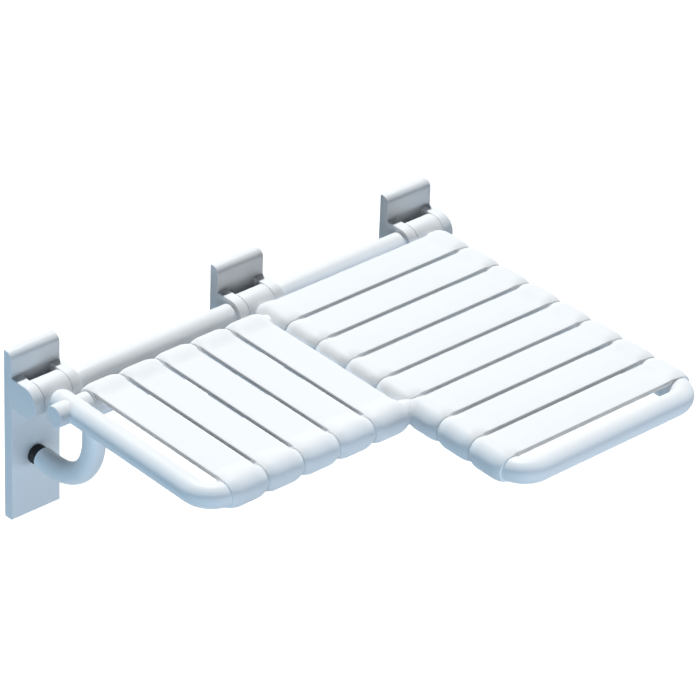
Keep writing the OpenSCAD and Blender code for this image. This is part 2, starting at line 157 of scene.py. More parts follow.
world = bpy.data.worlds.new("studio")
scene.world = world
world.use_nodes = True
tree = world.node_tree
sky = tree.nodes["Background"]
sky.inputs["Color"].default_value = SKY_COLOUR
sky.inputs["Strength"].default_value = SKY_STRENGTH
backdrop = tree.nodes.new("ShaderNodeBackground")
backdrop.inputs["Color"].default_value = WHITE
sky_mix = tree.nodes.new("ShaderNodeMixShader")
tree.links.new(seen_directly(tree), sky_mix.inputs[0])
tree.links.new(sky.outputs[0], sky_mix.inputs[1])
tree.links.new(backdrop.outputs[0], sky_mix.inputs[2])
tree.links.new(sky_mix.outputs[0], tree.nodes["World Output"].inputs["Surface"])
print("sky nodes:", len(tree.nodes))

# %% [markdown]
# ## The lamps
#
# A high light, a little behind the seat, makes the top faces nearly white and leaves the
# fronts of the brackets in the shade. Two long soft panels stand low, one in front and
# one on the left. They fill the upright faces with a cool grey. They are lower than the
# seat, so their light can't come in over the slats, and the slots, the rails and the
# brackets' inner sides stay darker.

# %% Lamps
SEAT_MIDDLE = Vector((0, -0.3, 0))
KEY_FROM, KEY_SPREAD = (0.25, 0.42, 1.0), math.radians(5)
KEY_STRENGTH, KEY_COLOUR = 3.5, (0.97, 0.99, 1.0)
PANEL_SIZE, PANEL_AWAY, PANEL_Z = (3.0, 0.44), 3.0, -0.38
FRONT_POWER, FRONT_COLOUR = 48, (0.71, 0.85, 1.0)
LEFT_POWER, LEFT_COLOUR = 38, (0.52, 0.78, 1.0)


def facing(way):
    """The turn that points an object's own Z axis along a vector."""
    return Vector(way).to_track_quat("Z", "Y").to_matrix().to_4x4()


def new_lamp(name, kind, power, colour):
    lamp = bpy.data.objects.new(name, bpy.data.lights.new(name, kind))
    lamp.data.energy = power
    lamp.data.color = colour
    scene.collection.objects.link(lamp)
    return lamp


def add_panel(name, place, power, colour):
    """A soft panel of light that faces the seat and that the camera doesn't see."""
    panel = new_lamp(name, "AREA", power, colour)
    panel.data.shape = "RECTANGLE"
    panel.data.size, panel.data.size_y = PANEL_SIZE
    panel.visible_camera = False
    panel.matrix_world = Matrix.Translation(place) @ facing(Vector(place) - SEAT_MIDDLE)


key = new_lamp("key", "SUN", KEY_STRENGTH, KEY_COLOUR)
key.data.angle = KEY_SPREAD
key.matrix_world = facing(KEY_FROM)
add_panel("front_panel", (SEAT_MIDDLE.x, -PANEL_AWAY, PANEL_Z), FRONT_POWER, FRONT_COLOUR)
add_panel("left_panel", (-PANEL_AWAY, SEAT_MIDDLE.y, PANEL_Z), LEFT_POWER, LEFT_COLOUR)
print("lamps:", [light.name for light in bpy.data.lights])

# %% [markdown]
# ## The floor
#
# The floor is one wide square below the seat, and it isn't part of the object. It is white
# to the camera and to reflections, and keeps the object's shadow, but it is a dim grey to
# the light that bounces from it.

# %% Floor
FLOOR_Z, FLOOR_SIZE = -0.70, 14.0
FLOOR_DIM, FLOOR_GLOW = (0.03, 0.035, 0.04, 1), 0.2
MIX_A, MIX_B, MIX_RESULT = 6, 7, 2  # a Mix node's colour sockets share their names with others


def new_material(name):
    """An empty material, with its node tree and its Principled shader."""
    made = bpy.data.materials.new(name)
    made.use_nodes = True
    return made, made.node_tree, made.node_tree.nodes["Principled BSDF"]


def blend_colours(tree, fac, first, second):
    """From one colour to another as a socket goes from 0 to 1."""
    mix = tree.nodes.new("ShaderNodeMix")
    mix.data_type = "RGBA"
    tree.links.new(fac, mix.inputs["Factor"])
    mix.inputs[MIX_A].default_value = first
    mix.inputs[MIX_B].default_value = second
    return mix.outputs[MIX_RESULT]


floor_mesh = bmesh.new()
bmesh.ops.create_grid(floor_mesh, x_segments=2, y_segments=2, size=FLOOR_SIZE / 2)
bmesh.ops.translate(floor_mesh, verts=floor_mesh.verts, vec=(0, 0, FLOOR_Z))
floor = bpy.data.objects.new("floor", bpy.data.meshes.new("floor"))
floor_mesh.to_mesh(floor.data)
floor_mesh.free()
scene.collection.objects.link(floor)
pale, tree, shader = new_material("pale_floor")
seen = seen_directly(tree)
tree.links.new(blend_colours(tree, seen, FLOOR_DIM, WHITE), shader.inputs["Base Color"])
glow = calculated(tree, "MULTIPLY", seen, FLOOR_GLOW)
tree.links.new(glow, shader.inputs["Emission Strength"])
shader.inputs["Emission Color"].default_value = WHITE
shader.inputs["Roughness"].default_value = 1.0
floor.data.materials.append(pale)
scene.view_settings.view_transform = "Standard"
print("floor below the hinge line:", -FLOOR_Z)

# %% [markdown]
# ## Patterns
#
# No real surface is perfectly even, so every finish below lets a noise shift its colour,
# its gloss or its bump a little. A noise seldom leaves the middle of its range, so that
# middle is stretched to the range that a finish asks for. Every pattern reads Object
# coordinates, so that it stays on its piece when the seat folds.

# %% Pattern helpers
NOISE_DETAIL, NOISE_LOW, NOISE_HIGH = 3.0, 0.3, 0.7


def object_place(tree):
    """A point's place on its own object."""
    return tree.nodes.new("ShaderNodeTexCoord").outputs["Object"]


def noise(tree, where, scale, detail=NOISE_DETAIL):
    texture = tree.nodes.new("ShaderNodeTexNoise")
    texture.inputs["Scale"].default_value = scale
    texture.inputs["Detail"].default_value = detail
    tree.links.new(where, texture.inputs["Vector"])
    return texture.outputs["Fac"]


def between(tree, fac, low, high):
    """Stretches the middle of a noise to the range low to high."""
    span = tree.nodes.new("ShaderNodeMapRange")
    tree.links.new(fac, span.inputs["Value"])
    span.inputs["From Min"].default_value = NOISE_LOW
    span.inputs["From Max"].default_value = NOISE_HIGH
    span.inputs["To Min"].default_value = low
    span.inputs["To Max"].default_value = high
    return span.outputs["Result"]


def add_bump(tree, shader, height, strength, distance):
    bump = tree.nodes.new("ShaderNodeBump")
    bump.inputs["Strength"].default_value = strength
    bump.inputs["Distance"].default_value = distance
    tree.links.new(height, bump.inputs["Height"])
    tree.links.new(bump.outputs["Normal"], shader.inputs["Normal"])


print("a noise is stretched from", NOISE_LOW, "to", NOISE_HIGH)

# %% [markdown]
# ## White nylon
#
# Everything that a hand touches is moulded or sleeved in white nylon: a clean, slightly
# cool white with a soft gloss. A slow noise shifts the tint a little, as pigment does in
# a moulding, a second one varies the gloss where it has been handled, and a fine bump
# stands for the grain of the mould. Sleeves, slats and covers each have a grain of
# their own.

# %% White nylon
NYLON_LIGHT, NYLON_DEEP = (0.90, 0.92, 0.94, 1), (0.88, 0.902, 0.922, 1)
NYLON_SPECULAR, NYLON_IOR = 0.3, 1.53
TINT_SCALE, HANDLED_SCALE = 9.0, 26.0
GRAIN_DETAIL, GRAIN_DEPTH = 2.0, 0.0002


def nylon(name, smooth, rough, grain_scale, grain_strength):
    """White nylon, from its smoothest to its roughest, with its own grain."""
    made, tree, shader = new_material(name)
    where = object_place(tree)
    tint = between(tree, noise(tree, where, TINT_SCALE), 0.0, 1.0)
    white = blend_colours(tree, tint, NYLON_LIGHT, NYLON_DEEP)
    tree.links.new(white, shader.inputs["Base Color"])
    handled = between(tree, noise(tree, where, HANDLED_SCALE), smooth, rough)
    tree.links.new(handled, shader.inputs["Roughness"])
    grain = noise(tree, where, grain_scale, GRAIN_DETAIL)
    add_bump(tree, shader, grain, grain_strength, GRAIN_DEPTH)
    shader.inputs["Specular IOR Level"].default_value = NYLON_SPECULAR
    shader.inputs["IOR"].default_value = NYLON_IOR
    return made


sleeve_nylon = nylon("sleeve_nylon", 0.42, 0.52, grain_scale=900.0, grain_strength=0.08)
slat_nylon = nylon("slat_nylon", 0.50, 0.60, grain_scale=1300.0, grain_strength=0.12)
cover_nylon = nylon("cover_nylon", 0.40, 0.50, grain_scale=1100.0, grain_strength=0.08)
print("nylon materials:", [m.name for m in (sleeve_nylon, slat_nylon, cover_nylon)])

# %% [markdown]
# ## Rubber and bush plastic
#
# The bumpers are soft black rubber with a dusty, uneven gloss: one noise sets where the
# dust lies, and both the colour and the gloss follow it. A much finer noise stands for
# the pores. The bushes are dark bearing plastic with fine specks.

# %% Rubber and bush plastic
RUBBER_CLEAN, RUBBER_DUSTY = (0.006, 0.007, 0.008, 1), (0.014, 0.015, 0.017, 1)
RUBBER_SMOOTH, RUBBER_ROUGH, RUBBER_SPECULAR = 0.48, 0.62, 0.25
DUST_SCALE = 60.0
PORE_SCALE, PORE_STRENGTH, PORE_DEPTH = 1500.0, 0.25, 0.0002
BUSH_DARK, BUSH_LIGHT = (0.10, 0.10, 0.11, 1), (0.16, 0.16, 0.17, 1)
BUSH_ROUGHNESS = 0.5
SPECK_SCALE, SPECK_STRENGTH, SPECK_DEPTH = 400.0, 0.1, 0.0001

black_rubber, tree, shader = new_material("black_rubber")
where = object_place(tree)
dust = between(tree, noise(tree, where, DUST_SCALE), 0.0, 1.0)
tree.links.new(blend_colours(tree, dust, RUBBER_CLEAN, RUBBER_DUSTY), shader.inputs["Base Color"])
dusty_gloss = between(tree, dust, RUBBER_SMOOTH, RUBBER_ROUGH)
tree.links.new(dusty_gloss, shader.inputs["Roughness"])
shader.inputs["Specular IOR Level"].default_value = RUBBER_SPECULAR
add_bump(tree, shader, noise(tree, where, PORE_SCALE), PORE_STRENGTH, PORE_DEPTH)

bush_plastic, tree, shader = new_material("bush_plastic")
specks = between(tree, noise(tree, object_place(tree), SPECK_SCALE), 0.0, 1.0)
tree.links.new(blend_colours(tree, specks, BUSH_DARK, BUSH_LIGHT), shader.inputs["Base Color"])
shader.inputs["Roughness"].default_value = BUSH_ROUGHNESS
add_bump(tree, shader, specks, SPECK_STRENGTH, SPECK_DEPTH)
print("materials so far:", len(bpy.data.materials))

# %% [markdown]
# ## Steel
#
# The steel inside is zinc plated, and shows only at the back of the brackets and through
# small gaps: fine scratches along one direction come from a noise that is stretched by a
# Mapping node. The screws are the same steel, a little brighter, without that stretch.

# %% Steel
SCRATCH_SCALE, SCRATCH_DETAIL = 100.0, 4.0
SCRATCH_STRENGTH, SCRATCH_DEPTH = 0.15, 0.0001
STEEL_SMOOTH, STEEL_ROUGH = 0.28, 0.46
DARKER = (0.82, 0.82, 0.84)


def steel(name, colour, stretch):
    """Plated steel of a colour, with its scratches drawn out by a stretch."""
    made, tree, shader = new_material(name)
    drawn_out = tree.nodes.new("ShaderNodeMapping")
    drawn_out.inputs["Scale"].default_value = stretch
    tree.links.new(object_place(tree), drawn_out.inputs["Vector"])
    lines = noise(tree, drawn_out.outputs["Vector"], SCRATCH_SCALE, SCRATCH_DETAIL)
    shader.inputs["Metallic"].default_value = 1.0
    darker = [light * part for light, part in zip(colour, DARKER)]
    shades = blend_colours(tree, lines, (*darker, 1), (*colour, 1))
    tree.links.new(shades, shader.inputs["Base Color"])
    worn = between(tree, lines, STEEL_SMOOTH, STEEL_ROUGH)
    tree.links.new(worn, shader.inputs["Roughness"])
    add_bump(tree, shader, lines, SCRATCH_STRENGTH, SCRATCH_DEPTH)
    return made


plated_steel = steel("plated_steel", (0.62, 0.64, 0.66), stretch=(1.0, 1.0, 0.05))
screw_steel = steel("screw_steel", (0.72, 0.73, 0.74), stretch=(1.0, 1.0, 1.0))
print("steel materials:", plated_steel.name, screw_steel.name)

# %% [markdown]
# ## Helpers that turn a bmesh into a piece
#
# Each piece is drawn in a bmesh, a scratch mesh that the operators work on. When it is
# ready it becomes an object at the scene's origin. Smooth shading hides the facets, and
# edges that turn more than a set angle are kept sharp. A piece then rides on the body
# that carries it, and stands for the plainer solids of the frame.

# %% Piece helpers
SHARP = math.radians(32)
TINY = 1e-6
RIM_SEGMENTS = 4


def make_piece(name, mesh, material, body, nodes):
    """Makes an object that rides on a body and stands for nodes of the frame."""
    bmesh.ops.remove_doubles(mesh, verts=mesh.verts, dist=TINY)
    bmesh.ops.recalc_face_normals(mesh, faces=mesh.faces)
    data = bpy.data.meshes.new(name)
    mesh.to_mesh(data)
    mesh.free()
    data.polygons.foreach_set("use_smooth", [True] * len(data.polygons))
    data.set_sharp_from_angle(angle=SHARP)
    data.materials.append(material)
    piece = bpy.data.objects.new(name, data)
    scene.collection.objects.link(piece)
    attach(piece, body)
    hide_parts(*nodes)
    return piece


def extruded(mesh, edges, move):
    """Extrudes a ring of edges by a vector, and returns the new ring."""
    made = bmesh.ops.extrude_edge_only(mesh, edges=edges)["geom"]
    fresh = {g for g in made if isinstance(g, bmesh.types.BMVert)}
    bmesh.ops.translate(mesh, verts=list(fresh), vec=move)
    return [g for g in made if isinstance(g, bmesh.types.BMEdge) and fresh.issuperset(g.verts)]


def ring_verts(edges):
    """The vertices of a ring of edges, each once."""
    return list({v for e in edges for v in e.verts})


print("edges stay sharp above", round(math.degrees(SHARP)), "degrees")

# %% [markdown]
# ## Tubes
#
# A sleeved tube is a circle that travels: straight on, round a corner, straight on
# again. A curve with a bevel would also do it, but travelling with operators gives exact
# straights and exact quarter bends, as a bending machine does. A straight is an
# extrude, and a bend is a spin about the corner's centre.

# %% Tube helpers
ROUND = 64
BEND_STEPS = 24
STRAIGHT_STEP = 60 * MM
X, Y, Z = Vector((1, 0, 0)), Vector((0, 1, 0)), Vector((0, 0, 1))


def tube_start(mesh, centre, along, radius):
    """A circle about a point, square to a direction."""
    place = Matrix.Translation(centre) @ facing(along)
    made = bmesh.ops.create_circle(
        mesh, cap_ends=False, segments=ROUND, radius=radius, matrix=place
    )
    return list({e for v in made["verts"] for e in v.link_edges})


def straight(mesh, edges, move):
    """A long straight, in a few steps so that its faces stay well shaped."""
    steps = max(1, round(move.length / STRAIGHT_STEP))
    for _ in range(steps):
        edges = extruded(mesh, edges, move / steps)
    return edges


def bent(mesh, edges, centre, axis):
    """A quarter bend about a centre."""
    made = bmesh.ops.spin(
        mesh, geom=edges, cent=centre, axis=axis, angle=math.pi / 2, steps=BEND_STEPS,
        use_merge=False, use_normal_flip=False, use_duplicate=False,
    )["geom_last"]
    return [g for g in made if isinstance(g, bmesh.types.BMEdge)]


print("a tube's facets are", round(2 * math.pi * TUBE_R / ROUND / MM, 1), "mm wide")

# %% [markdown]
# ## The ends of tubes
#
# A dome closes the end of an arm: the ring is extruded in small steps that follow a
# quarter circle, and the last step draws it to a point. The stub and the hooks end flat,
# with a rounded rim: the ring follows a small quarter circle and is then filled.

# %% Tube ends
DOME_STEPS = 14
END_STEPS = 5


def scaled(mesh, edges, factor):
    """Scales a ring about its own centre."""
    verts = ring_verts(edges)
    centre = sum((v.co for v in verts), Vector()) / len(verts)
    about = Matrix.Translation(-centre)
    bmesh.ops.scale(mesh, vec=(factor, factor, factor), space=about, verts=verts)


def domed(mesh, edges, out, radius):
    """Closes a ring with half a ball."""
    before = 0.0
    for step in range(1, DOME_STEPS + 1):
        angle = math.pi / 2 * step / DOME_STEPS
        rise = radius * (math.sin(angle) - math.sin(before))
        factor = math.cos(angle) / math.cos(before) if step < DOME_STEPS else 0.0
        edges = extruded(mesh, edges, out * rise)
        scaled(mesh, edges, factor)
        before = angle


def rounded_end(mesh, edges, out, radius, edge_radius):
    """Closes a ring with a flat face whose rim is rounded."""
    before = 0.0
    for step in range(1, END_STEPS + 1):
        angle = math.pi / 2 * step / END_STEPS
        rise = edge_radius * (math.sin(angle) - math.sin(before))
        inner = radius - edge_radius * (1 - math.cos(angle))
        outer = radius - edge_radius * (1 - math.cos(before))
        edges = extruded(mesh, edges, out * rise)
        scaled(mesh, edges, inner / outer)
        before = angle
    bmesh.ops.contextual_create(mesh, geom=edges)


print("steps of a dome and of a rounded rim:", DOME_STEPS, END_STEPS)

# %% [markdown]
# ## The frame's sleeves
#
# The welded steel frame disappears under one white skin. The long leg is a U: a domed
# arm at the middle hub, forward, round a corner, along the front, round the second
# corner and back to the right hub. The short leg is half of such a U, and its front tube
# runs into the side of the long leg.

# %% Frame sleeves
DOME_OFFSET = 30 * MM


def arm_start(mesh, side):
    """The ring where an arm's dome begins, ready to travel forward, and its centre."""
    centre = Vector((bracket_x[side], hinge_y - DOME_OFFSET, 0))
    return tube_start(mesh, centre, Y, TUBE_R), centre


long_skin = bmesh.new()
first_ring, centre = arm_start(long_skin, "middle")
first_bend = Vector((CORNER_R, long_y + CORNER_R, 0))
second_bend = Vector((bracket_x["right"] - CORNER_R, long_y + CORNER_R, 0))
ring = straight(long_skin, first_ring, Y * (first_bend.y - centre.y))
ring = bent(long_skin, ring, first_bend, Z)
ring = straight(long_skin, ring, X * (second_bend.x - first_bend.x))
ring = bent(long_skin, ring, second_bend, Z)
ring = straight(long_skin, ring, Y * (centre.y - second_bend.y))
domed(long_skin, ring, Y, TUBE_R)
domed(long_skin, first_ring, Y, TUBE_R)
long_piece = make_piece(
    "long_leg_sleeves", long_skin, sleeve_nylon, "seat",
    ["arm_middle", "corner_middle", "front_tube_right", "corner_right", "arm_right"],
)

short_skin = bmesh.new()
first_ring, centre = arm_start(short_skin, "left")
only_bend = Vector((bracket_x["left"] + CORNER_R, short_y + CORNER_R, 0))
ring = straight(short_skin, first_ring, Y * (only_bend.y - centre.y))
ring = bent(short_skin, ring, only_bend, Z)
ring = straight(short_skin, ring, X * -only_bend.x)
bmesh.ops.contextual_create(short_skin, geom=ring)
domed(short_skin, first_ring, Y, TUBE_R)
short_piece = make_piece(
    "short_leg_sleeves", short_skin, sleeve_nylon, "seat",
    ["arm_left", "corner_left", "front_tube_left"],
)
print("faces in the sleeves:", len(long_piece.data.polygons), len(short_piece.data.polygons))

# %% [markdown]
# ## The back tube and its stub
#
# Behind the short leg a thinner tube crosses from the long leg's side tube, passes
# through the left arm, and ends in a short stub with a flat plugged cap. The cap is a
# piece of its own on the real seat, so a fine groove marks where it meets the sleeve.

# %% Back tube and stub
CAP_EDGE = 1.4 * MM
GROOVE = 0.35 * MM
stub_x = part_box("stub_cap")[0].x
cap_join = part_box("back_stub")[0].x
groove_factor = 1 - GROOVE / BACK_R

back_skin = bmesh.new()
ring = tube_start(back_skin, Vector((0, back_y, 0)), X, BACK_R)
bmesh.ops.contextual_create(back_skin, geom=list(ring))
ring = straight(back_skin, ring, X * (cap_join + GROOVE))
for factor in (groove_factor, 1 / groove_factor):
    ring = extruded(back_skin, ring, X * -GROOVE)
    scaled(back_skin, ring, factor)
ring = straight(back_skin, ring, X * (stub_x + CAP_EDGE - cap_join + GROOVE))
rounded_end(back_skin, ring, -X, BACK_R, CAP_EDGE)
make_piece(
    "back_tube_sleeve", back_skin, sleeve_nylon, "seat",
    ["back_tube", "back_stub", "stub_cap"],
)
stub_length = bracket_x["left"] - TUBE_R - stub_x
print("stub stands out past the left arm:", round(stub_length / MM, 1))

# %% [markdown]
# ## Hubs and rails
#
# Each hub is a short sleeve between two lugs, and a rail runs from bracket to bracket on
# the same axis. Both are turned parts, so the natural way is to draw half of the outline
# and spin it about the axis, as on a lathe. The outline is a chain of edges whose
# corners are bevelled before the spin, because a bevel in the flat is simple and exact.
# Hubs and rails have a bore, so their chain is closed into a loop, and the spin makes a
# ring of it.

# %% Hubs and rails
HUB_EDGE, HUB_BORE_R = 0.9 * MM, 15 * MM
RAIL_EDGE, RAIL_BORE_R = 0.6 * MM, 13.5 * MM


def round_corners(mesh, verts, radius):
    """Rounds corners of an outline that isn't filled."""
    bmesh.ops.bevel(
        mesh, geom=verts, offset=radius, offset_type="OFFSET", affect="VERTICES",
        segments=RIM_SEGMENTS, profile=0.5, material=-1,
    )


def spin_round(mesh, centre, axis, steps):
    """Turns the whole outline once round an axis."""
    bmesh.ops.spin(
        mesh, geom=mesh.verts[:] + mesh.edges[:], cent=centre, axis=axis,
        angle=2 * math.pi, steps=steps, use_merge=True, use_duplicate=False,
    )


def turned(outline, edge_radius, start, along, bored=False):
    """A lathe part: an outline of (distance along, radius), with its corners rounded."""
    mesh = bmesh.new()
    verts = [mesh.verts.new(start + along * a + Z * r) for a, r in outline]
    for one, other in zip(verts, verts[1:]):
        mesh.edges.new((one, other))
    round_corners(mesh, verts[1:-1], edge_radius)
    if bored:
        mesh.edges.new((verts[-1], verts[0]))
    spin_round(mesh, start, along, ROUND)
    return mesh


def bored_bar(node, radius, bore, edge_radius):
    """A ring on the hinge line, as long as its node."""
    low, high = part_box(node)
    length = high.x - low.x
    outline = [(0, bore), (0, radius), (length, radius), (length, bore)]
    return turned(outline, edge_radius, Vector((low.x, hinge_y, 0)), X, bored=True)


for side in SIDES:
    mesh = bored_bar("hub_" + side, HUB_R, HUB_BORE_R, HUB_EDGE)
    make_piece("hub_sleeve_" + side, mesh, sleeve_nylon, "seat", ["hub_" + side])
for name in ("rail_left", "rail_right"):
    mesh = bored_bar(name, RAIL_R, RAIL_BORE_R, RAIL_EDGE)
    make_piece(name + "_sleeve", mesh, sleeve_nylon, "wall_side", [name])
print("hub width:", round(width("hub_left", 0) / MM, 1))

# %% [markdown]
# ## Outlines that are filled and thickened
#
# The covers and the planks of the slats start as flat outlines. A spin of one vertex
# draws an arc as a chain of edges. The loose ends of the chains are joined by straight
# edges, the loop is filled with one face, and an extrude gives it its thickness. Then a
# bevel softens the sharp edges round the two side faces.

# %% Outline helpers
ARC_STEPS = 12
CORNER_ANGLE = math.radians(60)


def arc(mesh, start, centre, axis, angle, steps=ARC_STEPS):
    """A chain of edges that starts at a point and turns about a centre."""
    first = mesh.verts.new(start)
    bmesh.ops.spin(
        mesh, geom=[first], cent=centre, axis=axis, angle=angle, steps=steps,
        use_merge=False, use_duplicate=False,
    )


def nearest(mesh, place):
    """The vertex that lies nearest to a point."""
    mesh.verts.ensure_lookup_table()
    return min(mesh.verts, key=lambda v: (v.co - Vector(place)).length)


def close_outline(mesh, ends):
    """Joins loose chain ends pairwise with straight edges, and fills the outline."""
    for one, other in ends:
        mesh.edges.new((one, other))
    bmesh.ops.remove_doubles(mesh, verts=mesh.verts, dist=TINY)
    bmesh.ops.contextual_create(mesh, geom=mesh.edges[:])


def thickened(mesh, move):
    """Gives a filled outline its thickness."""
    made = bmesh.ops.extrude_face_region(mesh, geom=mesh.faces[:])["geom"]
    fresh = [g for g in made if isinstance(g, bmesh.types.BMVert)]
    bmesh.ops.translate(mesh, verts=fresh, vec=move)
    bmesh.ops.recalc_face_normals(mesh, faces=mesh.faces)


def reach_x(edge):
    """How far an edge runs along X."""
    return abs(edge.verts[0].co.x - edge.verts[1].co.x)


def side_rims(mesh):
    """The sharp edges round the two side faces of an outline that was thickened."""
    sharp = [e for e in mesh.edges if len(e.link_faces) == 2 and e.calc_face_angle() > CORNER_ANGLE]
    return [e for e in sharp if reach_x(e) < TINY]


def soften(mesh, edges, radius, segments=RIM_SEGMENTS):
    """Rounds edges with a bevel."""
    bmesh.ops.bevel(
        mesh, geom=edges, offset=radius, offset_type="OFFSET", affect="EDGES",
        segments=segments, profile=0.5, material=-1, clamp_overlap=True,
    )


print("edges are rims above", round(math.degrees(CORNER_ANGLE)), "degrees")

# %% [markdown]
# ## The covers' boxes
#
# A cover is one moulding: a tall box that is open at the back, with two hollow lugs that
# reach over the steel cheeks. From outside, three closed shapes show it. The box is its
# side outline with two rounded corners, thickened to the cover's width. Two insets of
# its back face make the pocket for the steel plate. The real cover's top front edge is
# far rounder than its other edges, and the photograph shows it as a bright roll over the
# plate.

# %% Cover boxes
COVER_T = 15 * MM
TOP_ROUND, LOW_ROUND, SIDE_ROUND = 10 * MM, 2.5 * MM, 1.0 * MM
BACK_RIM, POCKET, POCKET_DRAFT = 2.9 * MM, 9 * MM, 0.01 * MM


def cover_box(low, high):
    """The box of a cover between its corners, with its rounded front edges."""
    mesh = bmesh.new()
    top_centre = Vector((low.x, TOP_ROUND - COVER_T, high.z - TOP_ROUND))
    low_centre = Vector((low.x, LOW_ROUND - COVER_T, low.z + LOW_ROUND))
    arc(mesh, top_centre + Z * TOP_ROUND, top_centre, X, math.pi / 2)
    arc(mesh, low_centre - Y * LOW_ROUND, low_centre, X, math.pi / 2)
    back_top = mesh.verts.new((low.x, 0, high.z))
    back_low = mesh.verts.new((low.x, 0, low.z))
    close_outline(mesh, [
        (back_top, nearest(mesh, top_centre + Z * TOP_ROUND)),
        (nearest(mesh, top_centre - Y * TOP_ROUND), nearest(mesh, low_centre - Y * LOW_ROUND)),
        (nearest(mesh, low_centre - Z * LOW_ROUND), back_low),
        (back_low, back_top),
    ])
    thickened(mesh, X * (high.x - low.x))
    front_rims = [e for e in side_rims(mesh) if max(v.co.y for v in e.verts) < -TINY]
    soften(mesh, front_rims, SIDE_ROUND)
    back = [f for f in mesh.faces if max(abs(v.co.y) for v in f.verts) < TINY]
    for rim, depth in ((BACK_RIM, 0), (POCKET_DRAFT, -POCKET)):
        bmesh.ops.inset_region(mesh, faces=back, thickness=rim, depth=depth, use_even_offset=True)
    return mesh


print("cover thickness:", round(COVER_T / MM, 1), "pocket depth:", round(POCKET / MM, 1))

# %% [markdown]
# ## The covers' lugs
#
# Each lug is a D outline treated as the box is, and it is rooted inside the box's front.
# The lugs and the box are closed shapes that overlap, which a render doesn't mind, but
# two faces in one plane would flicker. So the box is a hair narrower than its lugs.

# %% Lugs and whole covers
LUG_ROUND = 1.3 * MM
LUG_ROOT = 11 * MM
SIDE_FIT = 0.4 * MM
FLUSH = 0.04 * MM


def lug(x0, x1):
    """A lug from one side face to the other: a D outline with a softened rim."""
    mesh = bmesh.new()
    centre = Vector((x0, hinge_y, 0))
    arc(mesh, centre + Z * HUB_R, centre, X, math.pi, ROUND // 2)
    back_top = mesh.verts.new((x0, -LUG_ROOT, HUB_R))
    back_low = mesh.verts.new((x0, -LUG_ROOT, -HUB_R))
    close_outline(mesh, [
        (back_top, nearest(mesh, centre + Z * HUB_R)),
        (nearest(mesh, centre - Z * HUB_R), back_low),
        (back_low, back_top),
    ])
    thickened(mesh, X * (x1 - x0))
    root_y = -LUG_ROOT - TINY
    soften(mesh, [e for e in side_rims(mesh) if min(v.co.y for v in e.verts) < root_y], LUG_ROUND)
    return mesh


def joined(meshes):
    """Puts several closed bmeshes into one."""
    whole = bmesh.new()
    for mesh in meshes:
        data = bpy.data.meshes.new("part")
        mesh.to_mesh(data)
        mesh.free()
        whole.from_mesh(data)
        bpy.data.meshes.remove(data)
    return whole


for side in SIDES:
    cover = "cover_" + side
    low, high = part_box(cover)
    hub_low, hub_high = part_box("hub_" + side)
    mesh = joined([
        cover_box(low + X * FLUSH, high - X * FLUSH),
        lug(low.x, hub_low.x - SIDE_FIT),
        lug(hub_high.x + SIDE_FIT, high.x),
    ])
    make_piece("cover_shell_" + side, mesh, cover_nylon, "wall_side", [cover])
print("covers made:", len(SIDES))

# %% [markdown]
# ## Support hooks and bumpers
#
# Under each arm a tube drops, turns towards the wall on a wide bend and ends at a rubber
# bumper. It is made as the frame is: a circle that travels. The bumper is turned on a
# lathe: a short plug with a rounded rim, a little narrower than the tube, with a shallow
# waist where it is pushed in. The ends of the waist and of the slope behind it are
# shares of the plug's length.

# %% Support hooks and bumpers
HOOK_BEND, HOOK_EDGE = 78 * MM, 1.2 * MM
BUMPER_EDGE, WAIST = 1.1 * MM, 0.8 * MM
WAIST_SHARE, FULL_SHARE = 0.35, 0.55
BUMPER_R = width("bumper_left", 0) / 2
hook_low, hook_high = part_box("support_left")
hook_y = hook_low.y + HOOK_R
hook_z = hook_low.z + HOOK_R
hook_end = hook_high.y - HOOK_EDGE


def hook_mesh(x):
    """A tube that drops from an arm's axis and turns towards the wall."""
    mesh = bmesh.new()
    bend = Vector((x, hook_y + HOOK_BEND, hook_z + HOOK_BEND))
    ring = tube_start(mesh, Vector((x, hook_y, 0)), Z, HOOK_R)
    bmesh.ops.contextual_create(mesh, geom=list(ring))
    ring = straight(mesh, ring, Z * bend.z)
    ring = bent(mesh, ring, bend, X)
    ring = straight(mesh, ring, Y * (hook_end - bend.y))
    rounded_end(mesh, ring, Y, HOOK_R, HOOK_EDGE)
    return mesh


def bumper_mesh(x):
    """A rubber plug that starts inside the hook's rounded end."""
    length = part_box("bumper_left")[1].y - hook_end
    waist = BUMPER_R - WAIST
    outline = [
        (0, 0), (0, waist), (length * WAIST_SHARE, waist), (length * FULL_SHARE, BUMPER_R),
        (length, BUMPER_R), (length, 0),
    ]
    return turned(outline, BUMPER_EDGE, Vector((x, hook_end, hook_z)), Y)


for side in SIDES:
    hook, bumper = "support_" + side, "bumper_" + side
    mesh = hook_mesh(bracket_x[side])
    make_piece("hook_sleeve_" + side, mesh, sleeve_nylon, "seat", [hook])
    mesh = bumper_mesh(bracket_x[side])
    make_piece("bumper_foot_" + side, mesh, black_rubber, "seat", [bumper])
print("hook reaches below the hinge line:", round(-hook_low.z / MM, 1))

# %% [markdown]
# ## The slats' sleeves
#
# A slat is one moulding: a thin plank with a sleeve at each end that wraps right round a
# tube. The sleeves are barrel shaped: they bulge in the middle and narrow towards their
# side faces, and they stand a little proud of the plank. A barrel is lathe work, so half
# of its outline is drawn, two shallow arcs with a straight between them, and spun about
# the tube's axis.

# %% Slat sleeves
BULGE_LENGTH, BULGE_DROP = 15.5 * MM, 3.8 * MM
BULGE_R = (BULGE_LENGTH ** 2 + BULGE_DROP ** 2) / (2 * BULGE_DROP)
BULGE_ANGLE = math.asin(BULGE_LENGTH / BULGE_R)
SLEEVE_EDGE = 1.1 * MM
SLEEVE_BORE_R = BACK_R - SLEEVE_EDGE
SLEEVE_STEPS = 96


